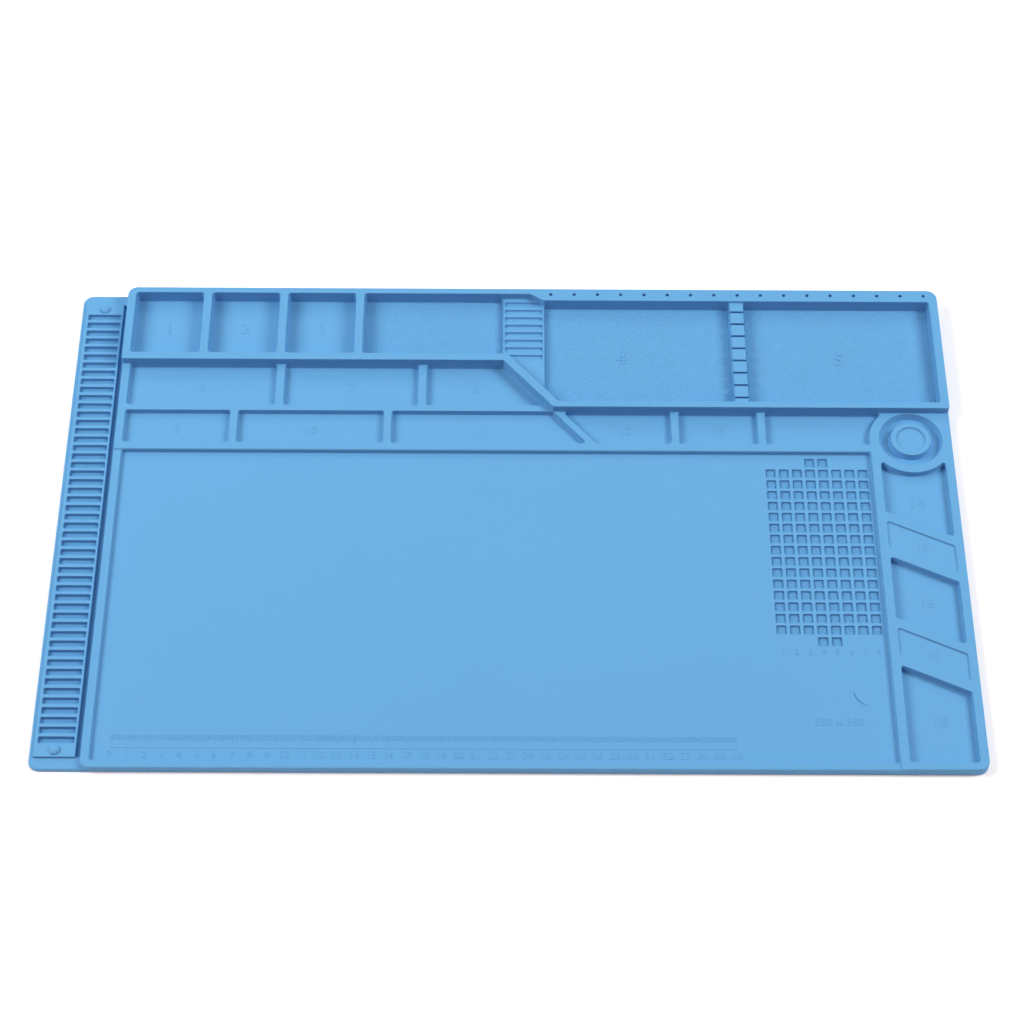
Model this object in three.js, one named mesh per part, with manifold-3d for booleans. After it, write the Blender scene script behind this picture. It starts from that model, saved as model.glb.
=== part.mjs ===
// Silicone bench mat: one moulded sheet with parts trays along the back, shallow trays in front
// of them, a flat work area with a grid of screw cells, a column of slanted trays with a round
// dish at the right, and a flange at the left that carries a slotted bar.
// Millimetres. The origin is at the middle of the underside, +X along the mat, +Y to its back.

import * as THREE from 'three';
import { mergeVertices } from 'three/addons/utils/BufferGeometryUtils.js';
import Module from 'manifold-3d';

const wasm = await Module();
wasm.setup();

// Outside of the mat
const matLength = 550;
const matWidth = 350;
const matCorner = 6.5;

// Thickness of the flange and of the sheet under the trays
const flangeThickness = 2;
const sheetThickness = 2.2;

// Heights of the levels, each measured from the one that it stands on
const trayDepth = 9;
const pocketDepth = 3.8;
const rimDrop = 0.9;
const workRise = 0.4;
const deepSink = 0.6;
const shallowDepth = 1.2;

// Walls: lean of a tray wall, round foot, rounded upper edges, corner radii in plan
const wallLean = 0.2;
const floorFillet = 0.5;
const edgeRound = 0.4;
const flangeRound = 1.4;
const rimRound = 1;
const trayCorner = 2;
const pocketCorner = 1.4;

// Flange, channel and slotted bar at the left
const barMargin = 2.5;
const barWidth = 24.2;
const channelWidth = 3.1;
const channelSink = 1.2;
const barEndMargin = 7.8;
const barRise = 1.5;
const barCorner = 0.8;
const slotCount = 49;
const slotPitch = 6.5;
const slotLength = 21.1;
const slotWidth = 4.2;
const slotDepth = 2.3;
const slotShift = 0.35;
const knobRadius = 3.5;
const knobRise = 2;
const knobFromEnd = 4.6;

// Rims of the main body
const bodyCorner = 6;
const leftRim = 5.2;
const rightRim = 5.5;
const frontRim = 5;
const backRim = 4.2;
const wideRim = 9.5;
const rimSlant = 8.7;

// Back tier: deep trays, ribbed block and notched divider
const smallTrayCount = 3;
const smallTrayWidth = 43.6;
const trayDivider = 5.3;
const trayLength = 48.8;
const tierLand = 5.4;
const largeTrayWidth = 119.6;
const notchedDivider = 8.5;
const notchedDrop = 1.8;
const notchCount = 8;
const notchPitch = 9.83;
const notchWidth = 1.5;
const notchDepth = 3;
const notchFromFront = 4.4;
const blockWidth = 25.6;
const blockDrop = 5;
const grooveCount = 8;
const groovePitch = 6.15;
const grooveDepth = 1.4;
const grooveRidge = 1.9;
const grooveMargin = 0.8;
const grooveFromCorner = 2.7;
const diagonalAngle = 49.6;

// Holes along the wide back rim
const holeCount = 17;
const holePitch = 15;
const holeRadius = 1.1;
const holeDepth = 6;
const holeFromBack = 4.5;
const lastHoleFromRight = 8.5;

// Middle row of shallow trays and the land in front of it; the widths are those of the second
// tray and of the third one's back edge, and the first tray takes what is left
const middleLength = 32;
const middleLand = 4.6;
const middleDivider = 5.2;
const middleWidths = [84.4, 48.4];

// Lower row of shallow trays and the land in front of it
const lowerLength = 24.6;
const lowerLand = 5.8;
const lowerDivider = 4.8;
const lowerWidths = [65.6, 91.2];
const diagonalDivider = 4.4;
const fifthWidth = 49.2;
const lastReach = 90;

// Right column: slanted trays below a round dish
const columnWidth = 40;
const columnWall = 5.8;
const slantAngle = 24.8;
const slantLand = 6.8;
const shallowLength = 19.4;
const deepLength = 43.7;
const firstTrayFoot = 44.7;

// Round dish: moat, island and the recess in the island
const dishRadius = 19.6;
const dishGap = 0.6;
const dishWall = 6;
const dishSlope = 1.4;
const islandRadius = 12.5;
const islandSlope = 0.7;
const recessRadius = 9.5;
const recessDepth = 1.2;

// Grid of screw cells in the work area
const cellColumns = 8;
const cellRows = 15;
const tabColumns = 2;
const tabRows = 1;
const cellPitchX = 8.1;
const cellPitchY = 8.15;
const cellSize = 6.2;
const cellDepth = 1.4;
const gridFromRight = 2.6;
const gridFromBack = 3.1;

// Fineness of round edges, and how far a cutter reaches past the face it opens
const cornerSteps = 3;
const edgeSteps = 2;
const wallArcSteps = 12;
const roundSides = 48;
const knobSides = 24;
const holeSides = 10;
const grooveSteps = 3;
const overcut = 1;
const smallestRadius = 0.1;
const mergeDistance = 1e-5;

// Levels above the underside
const tierTop = sheetThickness + trayDepth;
const landTop = sheetThickness + pocketDepth;
const rimTop = landTop - rimDrop;
const workFloor = sheetThickness + workRise;
const deepFloor = sheetThickness - deepSink;
const shallowFloor = landTop - shallowDepth;
const barTop = flangeThickness + barRise;
const blockTop = tierTop - blockDrop;
const notchedTop = tierTop - notchedDrop;

// Lines along the mat, from left to right
const left = -matLength / 2;
const right = matLength / 2;
const barLeft = left + barMargin;
const barRight = barLeft + barWidth;
const bodyLeft = barRight + channelWidth;
const innerLeft = bodyLeft + leftRim;
const innerRight = right - rightRim;
const columnLeft = innerRight - columnWidth;
const workRight = columnLeft - columnWall;
const notchedRight = innerRight - largeTrayWidth;
const notchedLeft = notchedRight - notchedDivider;
const blockRight = notchedLeft - largeTrayWidth;
const blockLeft = blockRight - blockWidth;

// Lines across the mat, from back to front
const back = matWidth / 2;
const front = -matWidth / 2;
const trayBack = back - backRim;
const trayFront = trayBack - trayLength;
const tierFront = trayFront - tierLand;
const middleFront = tierFront - middleLength;
const lowerBack = middleFront - middleLand;
const lowerFront = lowerBack - lowerLength;
const workBack = lowerFront - lowerLand;
const workFront = front + frontRim;
const largeBack = back - wideRim;

// The slanted line from the narrow tier to the wide one, and the inner line beside it
const diagonalSlope = 1 / Math.tan(THREE.MathUtils.degToRad(diagonalAngle));
const diagonalSpread = 1 / Math.sin(THREE.MathUtils.degToRad(diagonalAngle));
const outerDiagonal = (y) => blockLeft + (tierFront - y) * diagonalSlope;
const innerDiagonal = (y) => outerDiagonal(y) + tierLand * diagonalSpread;
const innerDiagonalAt = (x) => tierFront - (x - blockLeft - tierLand * diagonalSpread) / diagonalSlope;

// The round dish stands just in front of the wide tier, in the middle of the right column
const dishX = innerRight - columnWidth / 2;
const dishY = lowerBack - dishGap - dishRadius;
const dishOuter = dishRadius + dishWall;

// Slanted tray lines of the right column, by their height on the column's left side
const slantRun = Math.tan(THREE.MathUtils.degToRad(slantAngle));
const slant = (y, x) => y - (x - columnLeft) * slantRun;

// A corner of an outline: its place and the radius that it is rounded to
const corner = (x, y, radius = 0) => ({ x, y, radius });

function direction(from, to) {
  return new THREE.Vector2(to.x - from.x, to.y - from.y).normalize();
}

// Moves each side of a counter-clockwise outline inward, and rounds its corners
function outline(corners, inset) {
  const count = corners.length;
  const points = [];
  corners.forEach((here, i) => {
    const incoming = direction(corners[(i + count - 1) % count], here);
    const outgoing = direction(here, corners[(i + 1) % count]);
    const normalIn = new THREE.Vector2(-incoming.y, incoming.x);
    const normalOut = new THREE.Vector2(-outgoing.y, outgoing.x);
    const scale = inset / (1 + normalIn.dot(normalOut));
    const place = new THREE.Vector2(here.x, here.y);
    place.addScaledVector(normalIn, scale).addScaledVector(normalOut, scale);
    if (here.radius === 0) {
      points.push(place);
      return;
    }
    const turn = Math.atan2(incoming.cross(outgoing), incoming.dot(outgoing));
    const side = Math.sign(turn);
    const radius = Math.max(here.radius - side * inset, smallestRadius);
    const start = place.clone().addScaledVector(incoming, -radius * Math.tan(Math.abs(turn) / 2));
    const centre = start.clone().addScaledVector(normalIn, side * radius);
    for (let k = 0; k <= cornerSteps; k += 1) {
      points.push(start.clone().rotateAround(centre, (turn * k) / cornerSteps));
    }
  });
  return points;
}

function rectangle(x0, x1, y0, y1, radius) {
  return [
    corner(x0, y0, radius),
    corner(x1, y0, radius),
    corner(x1, y1, radius),
    corner(x0, y1, radius),
  ];
}

function toSolid(geometry) {
  const bare = geometry.clone();
  bare.deleteAttribute('normal');
  bare.deleteAttribute('uv');
  const merged = mergeVertices(bare, mergeDistance);
  return new wasm.Manifold(new wasm.Mesh({
    numProp: 3,
    vertProperties: new Float32Array(merged.attributes.position.array),
    triVerts: new Uint32Array(merged.index.array),
  }));
}

// A closed solid whose section changes with height: one outline for each step of the profile
function loft(outlineAt, profile) {
  const rings = profile.map((step) => outlineAt(step.inset));
  const count = rings[0].length;
  const positions = [];
  rings.forEach((ring, level) => {
    ring.forEach((point) => positions.push(point.x, point.y, profile[level].z));
  });
  const index = [];
  for (let level = 0; level < rings.length - 1; level += 1) {
    for (let i = 0; i < count; i += 1) {
      const a = level * count + i;
      const b = level * count + ((i + 1) % count);
      index.push(a, b, b + count, a, b + count, a + count);
    }
  }
  const topStart = (rings.length - 1) * count;
  THREE.ShapeUtils.triangulateShape(rings[0], []).forEach(([a, b, c]) => index.push(a, c, b));
  THREE.ShapeUtils.triangulateShape(rings[rings.length - 1], []).forEach(([a, b, c]) => {
    index.push(topStart + a, topStart + b, topStart + c);
  });
  const geometry = new THREE.BufferGeometry();
  geometry.setAttribute('position', new THREE.Float32BufferAttribute(positions, 3));
  geometry.setIndex(index);
  return toSolid(geometry);
}

// Profile of something that stands up: straight sides and a rounded upper edge
function raisedProfile(top, round) {
  const steps = [{ z: 0, inset: 0 }];
  for (let k = 0; k <= edgeSteps; k += 1) {
    const angle = (Math.PI / 2) * (k / edgeSteps);
    steps.push({
      z: top - round * (1 - Math.sin(angle)),
      inset: round * (1 - Math.cos(angle)),
    });
  }
  return steps;
}

// Profile of a hollow: round foot, wall that leans outward, rounded upper edge
function hollowProfile(floor, top, foot = floorFillet) {
  const steps = [];
  for (let k = 0; k <= edgeSteps; k += 1) {
    const angle = (Math.PI / 2) * (k / edgeSteps);
    steps.push({
      z: floor + foot * (1 - Math.cos(angle)),
      inset: wallLean + foot * (1 - Math.sin(angle)),
    });
  }
  for (let k = 0; k <= edgeSteps; k += 1) {
    const angle = (Math.PI / 2) * (k / edgeSteps);
    steps.push({
      z: top - edgeRound * (1 - Math.sin(angle)),
      inset: -edgeRound * (1 - Math.cos(angle)),
    });
  }
  steps.push({ z: top + overcut, inset: -edgeRound });
  return steps;
}

function raised(corners, top, round = edgeRound) {
  return loft((inset) => outline(corners, inset), raisedProfile(top, round));
}

function hollow(corners, floor, top) {
  return loft((inset) => outline(corners, inset), hollowProfile(floor, top));
}

// A plain straight-sided cutter
function straight(corners, bottom, top) {
  return loft((inset) => outline(corners, inset), [{ z: bottom, inset: 0 }, { z: top, inset: 0 }]);
}

function box(x0, x1, y0, y1, z0, z1) {
  const geometry = new THREE.BoxGeometry(x1 - x0, y1 - y0, z1 - z0);
  geometry.translate((x0 + x1) / 2, (y0 + y1) / 2, (z0 + z1) / 2);
  return toSolid(geometry);
}

// A turned solid about an upright axis; its profile starts and ends on the axis
function turned(profile, x, y, sides) {
  const geometry = new THREE.LatheGeometry(profile.map(([r, z]) => new THREE.Vector2(r, z)), sides);
  geometry.rotateX(Math.PI / 2);
  geometry.translate(x, y, 0);
  return toSolid(geometry);
}

const addAll = (solid, parts) => parts.reduce((sum, part) => sum.add(part), solid);
const cutAll = (solid, parts) => parts.reduce((rest, part) => rest.subtract(part), solid);

// Points along an arc, both ends included
function arc(x, y, radius, from, to, steps) {
  const points = [];
  for (let k = 0; k <= steps; k += 1) {
    const angle = from + ((to - from) * k) / steps;
    points.push(new THREE.Vector2(x + radius * Math.cos(angle), y + radius * Math.sin(angle)));
  }
  return points;
}

// Flange and slotted bar
function makeBar() {
  const corners = rectangle(barLeft, barRight, front + barEndMargin, back - barEndMargin, barCorner);
  const slots = [];
  const slotRight = barRight - (barWidth - slotLength) / 2 + slotShift;
  for (let i = 0; i < slotCount; i += 1) {
    const y = (i - (slotCount - 1) / 2) * slotPitch;
    const place = rectangle(slotRight - slotLength, slotRight, y - slotWidth / 2, y + slotWidth / 2);
    slots.push(straight(place, barTop - slotDepth, barTop + overcut));
  }
  return { bar: raised(corners, barTop), slots };
}

function makeKnob(end) {
  const y = end * (back - barEndMargin - knobFromEnd);
  const profile = [[0, 0], [knobRadius, 0]];
  for (let k = 0; k < cornerSteps; k += 1) {
    const angle = (Math.PI / 2) * (k / cornerSteps);
    profile.push([knobRadius * Math.cos(angle), barTop + knobRise * Math.sin(angle)]);
  }
  profile.push([0, barTop + knobRise]);
  return turned(profile, (barLeft + barRight) / 2, y, knobSides);
}

// Deep trays of the back tier
function tierHollows() {
  const hollows = [];
  const step = smallTrayWidth + trayDivider;
  for (let i = 0; i < smallTrayCount; i += 1) {
    const x = innerLeft + i * step;
    const tray = rectangle(x, x + smallTrayWidth, trayFront, trayBack, trayCorner);
    hollows.push(hollow(tray, sheetThickness, tierTop));
  }
  const wideTrayLeft = innerLeft + smallTrayCount * step;
  const wideTray = rectangle(wideTrayLeft, blockLeft, trayFront, trayBack, trayCorner);
  const cutTray = [
    corner(innerDiagonal(middleFront), middleFront, pocketCorner),
    corner(notchedLeft, middleFront, pocketCorner),
    corner(notchedLeft, largeBack, pocketCorner),
    corner(blockRight, largeBack, pocketCorner),
    corner(blockRight, innerDiagonalAt(blockRight), pocketCorner),
  ];
  const lastTray = rectangle(notchedRight, innerRight, middleFront, largeBack, pocketCorner);
  [wideTray, cutTray, lastTray].forEach((corners) => {
    hollows.push(hollow(corners, sheetThickness, tierTop));
  });
  return hollows;
}

// Outline of the ribbed block; it laps into the trays on both sides of it
function blockCorners(lap) {
  return [
    corner(blockLeft - lap, trayFront),
    corner(innerDiagonal(trayFront), trayFront),
    corner(blockRight + lap, innerDiagonalAt(blockRight + lap)),
    corner(blockRight + lap, largeBack),
    corner(blockRight, largeBack),
    corner(blockRight - rimSlant, trayBack),
    corner(blockLeft - lap, trayBack),
  ];
}

// Grooves across the ribbed block, each with a steep back and a long rising front
function blockGrooves() {
  const grooves = [];
  const foot = blockTop - grooveDepth;
  for (let i = 0; i < grooveCount; i += 1) {
    const y = trayFront + grooveFromCorner + i * groovePitch;
    const end = y - groovePitch + grooveRidge;
    const section = new THREE.Shape();
    section.moveTo(y, blockTop + overcut);
    section.lineTo(end, blockTop + overcut);
    section.lineTo(end, blockTop);
    section.quadraticCurveTo((y + end) / 2, foot, y - edgeRound, foot);
    section.lineTo(y, blockTop);
    const geometry = new THREE.ExtrudeGeometry(section, {
      depth: blockWidth - 2 * grooveMargin,
      bevelEnabled: false,
      curveSegments: grooveSteps,
    });
    // The section's own axes become +Y and +Z, and it runs along +X
    geometry.applyMatrix4(new THREE.Matrix4().makeBasis(
      new THREE.Vector3(0, 1, 0),
      new THREE.Vector3(0, 0, 1),
      new THREE.Vector3(1, 0, 0),
    ));
    geometry.translate(blockLeft + grooveMargin, 0, 0);
    grooves.push(toSolid(geometry));
  }
  const room = straight(blockCorners(0), 0, tierTop);
  return grooves.map((groove) => groove.intersect(room));
}

// The notched divider: its top lies lower than the tier, and notches run across it
function dividerCuts() {
  const lap = floorFillet + wallLean;
  const lowered = rectangle(notchedLeft - lap, notchedRight + lap, middleFront, largeBack);
  const cuts = [hollow(lowered, notchedTop, tierTop)];
  for (let i = 0; i < notchCount; i += 1) {
    const y = middleFront + notchFromFront + i * notchPitch;
    cuts.push(box(
      notchedLeft - lap,
      notchedRight + lap,
      y - notchWidth / 2,
      y + notchWidth / 2,
      notchedTop - notchDepth,
      tierTop,
    ));
  }
  return cuts;
}

// Blind holes along the wide back rim
function rimHoles() {
  const holes = [];
  for (let i = 0; i < holeCount; i += 1) {
    const x = right - lastHoleFromRight - i * holePitch;
    const profile = [
      [0, tierTop - holeDepth],
      [holeRadius, tierTop - holeDepth],
      [holeRadius, tierTop + overcut],
      [0, tierTop + overcut],
    ];
    holes.push(turned(profile, x, back - holeFromBack, holeSides));
  }
  return holes;
}

// Outer form of the back tier, narrow at the left and wide at the right
function tierBody() {
  return raised([
    corner(bodyLeft, tierFront, pocketCorner),
    corner(blockLeft, tierFront),
    corner(outerDiagonal(lowerBack), lowerBack),
    corner(right, lowerBack, pocketCorner),
    corner(right, back, matCorner),
    corner(bodyLeft, back, bodyCorner),
  ], tierTop);
}

// Land at the height of the shallow trays: behind the work area and down the right column
function landBody() {
  return raised([
    corner(bodyLeft, workBack, pocketCorner),
    corner(workRight, workBack),
    corner(workRight, front),
    corner(right, front, matCorner),
    corner(right, back, matCorner),
    corner(bodyLeft, back, bodyCorner),
  ], landTop, rimRound);
}

// Shallow trays of the middle row; the last one ends at the slanted wall
function middleHollows() {
  const [secondWidth, thirdWidth] = middleWidths;
  const thirdLeft = outerDiagonal(tierFront) - thirdWidth;
  const secondRight = thirdLeft - middleDivider;
  const secondLeft = secondRight - secondWidth;
  const firstRight = secondLeft - middleDivider;
  const trays = [
    rectangle(innerLeft, firstRight, middleFront, tierFront, pocketCorner),
    rectangle(secondLeft, secondRight, middleFront, tierFront, pocketCorner),
    [
      corner(thirdLeft, middleFront, pocketCorner),
      corner(outerDiagonal(middleFront), middleFront, pocketCorner),
      corner(outerDiagonal(tierFront), tierFront, pocketCorner),
      corner(thirdLeft, tierFront, pocketCorner),
    ],
  ];
  return trays.map((corners) => hollow(corners, sheetThickness, landTop));
}

// Shallow trays of the lower row, on both sides of the slanted divider
function lowerHollows() {
  const hollows = [];
  let x = innerLeft;
  lowerWidths.forEach((width) => {
    hollows.push(rectangle(x, x + width, lowerFront, lowerBack, pocketCorner));
    x += width + lowerDivider;
  });
  hollows.push([
    corner(x, lowerFront, pocketCorner),
    corner(outerDiagonal(lowerFront), lowerFront, pocketCorner),
    corner(outerDiagonal(lowerBack), lowerBack, pocketCorner),
    corner(x, lowerBack, pocketCorner),
  ]);
  const lastLeft = dishX - lastReach;
  const fifthRight = lastLeft - lowerDivider;
  const fifthLeft = fifthRight - fifthWidth;
  const fourthRight = fifthLeft - lowerDivider;
  const spread = diagonalDivider * diagonalSpread;
  hollows.push([
    corner(outerDiagonal(lowerFront) + spread, lowerFront, pocketCorner),
    corner(fourthRight, lowerFront, pocketCorner),
    corner(fourthRight, lowerBack, pocketCorner),
    corner(outerDiagonal(lowerBack) + spread, lowerBack, pocketCorner),
  ]);
  hollows.push(rectangle(fifthLeft, fifthRight, lowerFront, lowerBack, pocketCorner));
  const solids = hollows.map((corners) => hollow(corners, sheetThickness, landTop));
  solids.push(loft((inset) => lastLowerOutline(lastLeft, inset), hollowProfile(sheetThickness, landTop)));
  return solids;
}

// How far the centre of a small round lies from the dish's centre, across the given offset
const roundAway = (along, radius, wallRadius) => Math.sqrt((wallRadius + radius) ** 2 - along ** 2);

// Outline of the last lower tray, whose right end follows the wall round the dish
function lastLowerOutline(trayLeft, inset) {
  const wallRadius = dishOuter + inset;
  const radius = Math.max(pocketCorner - inset, smallestRadius);
  const x0 = trayLeft + inset;
  const y0 = lowerFront + inset;
  const y1 = lowerBack - inset;
  const topAway = roundAway(y1 - radius - dishY, radius, wallRadius);
  const footAway = roundAway(y0 + radius - dishY, radius, wallRadius);
  const topAngle = Math.PI - Math.atan2(y1 - radius - dishY, topAway);
  const footAngle = Math.PI - Math.atan2(y0 + radius - dishY, footAway);
  return [
    ...arc(x0 + radius, y1 - radius, radius, Math.PI / 2, Math.PI, cornerSteps),
    ...arc(x0 + radius, y0 + radius, radius, Math.PI, 1.5 * Math.PI, cornerSteps),
    ...arc(dishX - footAway, y0 + radius, radius, -Math.PI / 2, footAngle - Math.PI, cornerSteps),
    ...arc(dishX, dishY, wallRadius, footAngle, topAngle, wallArcSteps).slice(1, -1),
    ...arc(dishX - topAway, y1 - radius, radius, topAngle - Math.PI, Math.PI / 2, cornerSteps),
  ];
}

// Outline of the first column tray: its back follows the wall round the dish, its foot is slanted
function firstColumnOutline(footY, inset) {
  const wallRadius = dishOuter + inset;
  const radius = Math.max(pocketCorner - inset, smallestRadius);
  const x0 = columnLeft + inset;
  const x1 = innerRight - inset;
  const base = outline([
    corner(columnLeft, footY, pocketCorner),
    corner(innerRight, slant(footY, innerRight), pocketCorner),
    corner(innerRight, dishY),
    corner(columnLeft, dishY),
  ], inset).slice(0, 2 * (cornerSteps + 1));
  const half = dishX - x0 - radius;
  const away = roundAway(half, radius, wallRadius);
  const angle = Math.atan2(away, half);
  return [
    ...base,
    ...arc(x1 - radius, dishY - away, radius, 0, Math.PI - angle, cornerSteps),
    ...arc(dishX, dishY, wallRadius, -angle, angle - Math.PI, wallArcSteps).slice(1, -1),
    ...arc(x0 + radius, dishY - away, radius, angle, Math.PI, cornerSteps),
  ];
}

// Trays of the right column: deep and shallow in turn, between slanted lands
function columnHollows() {
  const slanted = (top, bottom) => [
    corner(columnLeft, bottom, pocketCorner),
    corner(innerRight, slant(bottom, innerRight), pocketCorner),
    corner(innerRight, slant(top, innerRight), pocketCorner),
    corner(columnLeft, top, pocketCorner),
  ];
  const hollows = [];
  let y = workBack - firstTrayFoot;
  hollows.push(loft((inset) => firstColumnOutline(y, inset), hollowProfile(deepFloor, landTop)));
  const firstTop = y - slantLand;
  hollows.push(hollow(slanted(firstTop, firstTop - shallowLength), shallowFloor, landTop));
  const secondTop = firstTop - shallowLength - slantLand;
  hollows.push(hollow(slanted(secondTop, secondTop - deepLength), deepFloor, landTop));
  const thirdTop = secondTop - deepLength - slantLand;
  hollows.push(hollow(slanted(thirdTop, thirdTop - shallowLength), shallowFloor, landTop));
  const fourthTop = thirdTop - shallowLength - slantLand;
  hollows.push(hollow([
    corner(columnLeft, workFront, pocketCorner),
    corner(innerRight, workFront, pocketCorner),
    corner(innerRight, slant(fourthTop, innerRight), pocketCorner),
    corner(columnLeft, fourthTop, pocketCorner),
  ], deepFloor, landTop));
  return hollows;
}

// Moat of the round dish, and the shallow recess in the island that it leaves
function dishCuts() {
  const foot = deepFloor;
  const moat = [
    [dishRadius + edgeRound, landTop + overcut],
    [dishRadius + edgeRound, landTop],
    [dishRadius, landTop - edgeRound],
    [dishRadius - dishSlope, foot + floorFillet],
    [dishRadius - dishSlope - floorFillet, foot],
    [islandRadius + islandSlope + floorFillet, foot],
    [islandRadius + islandSlope, foot + floorFillet],
    [islandRadius, landTop - edgeRound],
    [islandRadius - edgeRound, landTop],
    [islandRadius - edgeRound, landTop + overcut],
    [dishRadius + edgeRound, landTop + overcut],
  ];
  const floor = landTop - recessDepth;
  const recess = [
    [0, floor],
    [recessRadius - recessDepth, floor],
    [recessRadius, landTop],
    [recessRadius, landTop + overcut],
    [0, landTop + overcut],
  ];
  return [moat.reverse(), recess].map((profile) => turned(profile, dishX, dishY, roundSides));
}

// Square screw cells, with a short row of two at each end of the grid
function screwCells() {
  const cells = [];
  const lastX = workRight - gridFromRight - cellSize;
  const lastY = workBack - gridFromBack - cellSize;
  const middle = (cellColumns - tabColumns) / 2;
  for (let row = -tabRows; row < cellRows + tabRows; row += 1) {
    const tab = row < 0 || row >= cellRows;
    const first = tab ? middle : 0;
    const count = tab ? tabColumns : cellColumns;
    for (let column = first; column < first + count; column += 1) {
      const x = lastX - column * cellPitchX;
      const y = lastY - (row + tabRows) * cellPitchY;
      cells.push(box(x, x + cellSize, y, y + cellSize, workFloor - cellDepth, workFloor + overcut));
    }
  }
  return cells;
}

// The channel between the bar and the body; it laps under both of them, which are added later
function channelCut() {
  const end = back - barEndMargin - barCorner;
  const place = rectangle(barRight - overcut, bodyLeft + overcut, -end, end);
  return straight(place, flangeThickness - channelSink, flangeThickness + overcut);
}

// The whole mat, built up level by level
function makeMat() {
  const sheet = rectangle(left, right, front, back, matCorner);
  const flange = raised(sheet, flangeThickness, flangeRound).subtract(channelCut());
  const body = raised([
    corner(bodyLeft, front, bodyCorner),
    corner(right, front, matCorner),
    corner(right, back, matCorner),
    corner(bodyLeft, back, bodyCorner),
  ], rimTop, rimRound);
  const workOutline = rectangle(innerLeft, workRight, workFront, workBack, pocketCorner);
  const workArea = hollow(workOutline, workFloor, rimTop);
  const { bar, slots } = makeBar();
  const low = cutAll(addAll(flange, [body, bar]), [workArea, ...slots]);
  const knobbed = addAll(low, [makeKnob(-1), makeKnob(1), landBody()]);
  const shallow = cutAll(knobbed, [
    ...middleHollows(),
    ...lowerHollows(),
    ...columnHollows(),
    ...dishCuts(),
  ]);
  const block = hollow(blockCorners(floorFillet + wallLean), blockTop, tierTop);
  return cutAll(shallow.add(tierBody()), [
    ...tierHollows(),
    block,
    ...blockGrooves(),
    ...dividerCuts(),
    ...rimHoles(),
    ...screwCells(),
  ]);
}

function toMesh(solid, name, material) {
  const { numProp, vertProperties, triVerts } = solid.getMesh();
  const geometry = new THREE.BufferGeometry();
  geometry.setAttribute('position', new THREE.BufferAttribute(vertProperties, numProp));
  geometry.setIndex(new THREE.BufferAttribute(triVerts, 1));
  geometry.computeVertexNormals();
  const mesh = new THREE.Mesh(geometry, material);
  mesh.name = name;
  return mesh;
}

const silicone = new THREE.MeshStandardMaterial({ color: 0x6cb2e4, roughness: 0.62, metalness: 0 });

const group = new THREE.Group();
group.add(toMesh(makeMat(), 'mat', silicone));
export default group;
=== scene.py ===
import math

import bmesh
import bpy
from mathutils import Matrix, Vector


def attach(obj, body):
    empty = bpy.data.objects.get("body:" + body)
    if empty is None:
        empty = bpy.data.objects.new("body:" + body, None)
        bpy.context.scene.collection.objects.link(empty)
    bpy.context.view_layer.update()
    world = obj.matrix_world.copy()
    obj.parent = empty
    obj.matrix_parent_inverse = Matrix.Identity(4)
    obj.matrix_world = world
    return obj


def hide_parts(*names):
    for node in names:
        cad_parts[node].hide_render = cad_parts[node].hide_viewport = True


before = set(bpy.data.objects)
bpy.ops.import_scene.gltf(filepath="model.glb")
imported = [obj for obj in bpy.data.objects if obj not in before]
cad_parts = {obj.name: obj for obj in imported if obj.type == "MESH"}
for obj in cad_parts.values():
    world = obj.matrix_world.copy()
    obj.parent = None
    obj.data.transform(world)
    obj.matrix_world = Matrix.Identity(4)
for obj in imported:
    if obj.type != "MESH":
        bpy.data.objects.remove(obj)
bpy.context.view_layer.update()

# Table, light and camera
# The mat lies flat on a white table. Soft white lamps stand at its left, its right and its back,
# and a weak warm one in front. The camera looks down from in front through a long lens.

scene = bpy.context.scene
mm = 0.001
scene.view_settings.view_transform = "Standard"

camera_place = Vector((-7.234, -906.84, 1309.02)) * mm
camera_down = math.radians(55.0724)
camera_turn = math.radians(0.5566)
camera_roll = math.radians(-0.7086)

ahead = Vector((
    math.sin(camera_turn) * math.cos(camera_down),
    math.cos(camera_turn) * math.cos(camera_down),
    -math.sin(camera_down),
))
level_right = Vector((math.cos(camera_turn), -math.sin(camera_turn), 0))
level_up = level_right.cross(ahead)
picture_right = level_right * math.cos(camera_roll) - level_up * math.sin(camera_roll)
picture_up = level_right * math.sin(camera_roll) + level_up * math.cos(camera_roll)

lens = bpy.data.cameras.new("camera")
lens.lens = 91.793
lens.sensor_width = 36
lens.clip_start = 0.05
camera = bpy.data.objects.new("camera", lens)
camera.matrix_world = Matrix.Translation(camera_place) @ Matrix(
    (picture_right, picture_up, -ahead)
).transposed().to_4x4()
scene.collection.objects.link(camera)
scene.camera = camera

table_middle = Vector((0, 0, 0))


# A soft lamp that shines at the middle of the table, with its place and its size in metres
def lamp(name, place, width, depth, watts, colour=(1, 1, 1)):
    data = bpy.data.lights.new(name, "AREA")
    data.shape = "RECTANGLE"
    data.size = width
    data.size_y = depth
    data.energy = watts
    data.color = colour
    light = bpy.data.objects.new(name, data)
    light.location = place
    light.rotation_euler = (table_middle - Vector(place)).to_track_quat("-Z", "Y").to_euler()
    light.visible_camera = False
    scene.collection.objects.link(light)


lamp("left light", (-1.5, 0.1, 1.35), width=1.2, depth=1.0, watts=31)
lamp("right light", (1.55, 0.1, 1.5), width=0.45, depth=0.9, watts=29)
lamp("back light", (0, 1.5, 1.15), width=1.4, depth=0.9, watts=9)
lamp("warm front light", (0, -1.7, 0.95), width=1.6, depth=0.6, watts=5.5, colour=(1, 0.25, 0.12))

room = bpy.data.worlds.new("room")
room.use_nodes = True
room.node_tree.nodes["Background"].inputs["Color"].default_value = (1, 1, 1, 1)
room.node_tree.nodes["Background"].inputs["Strength"].default_value = 0.13
scene.world = room


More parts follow.
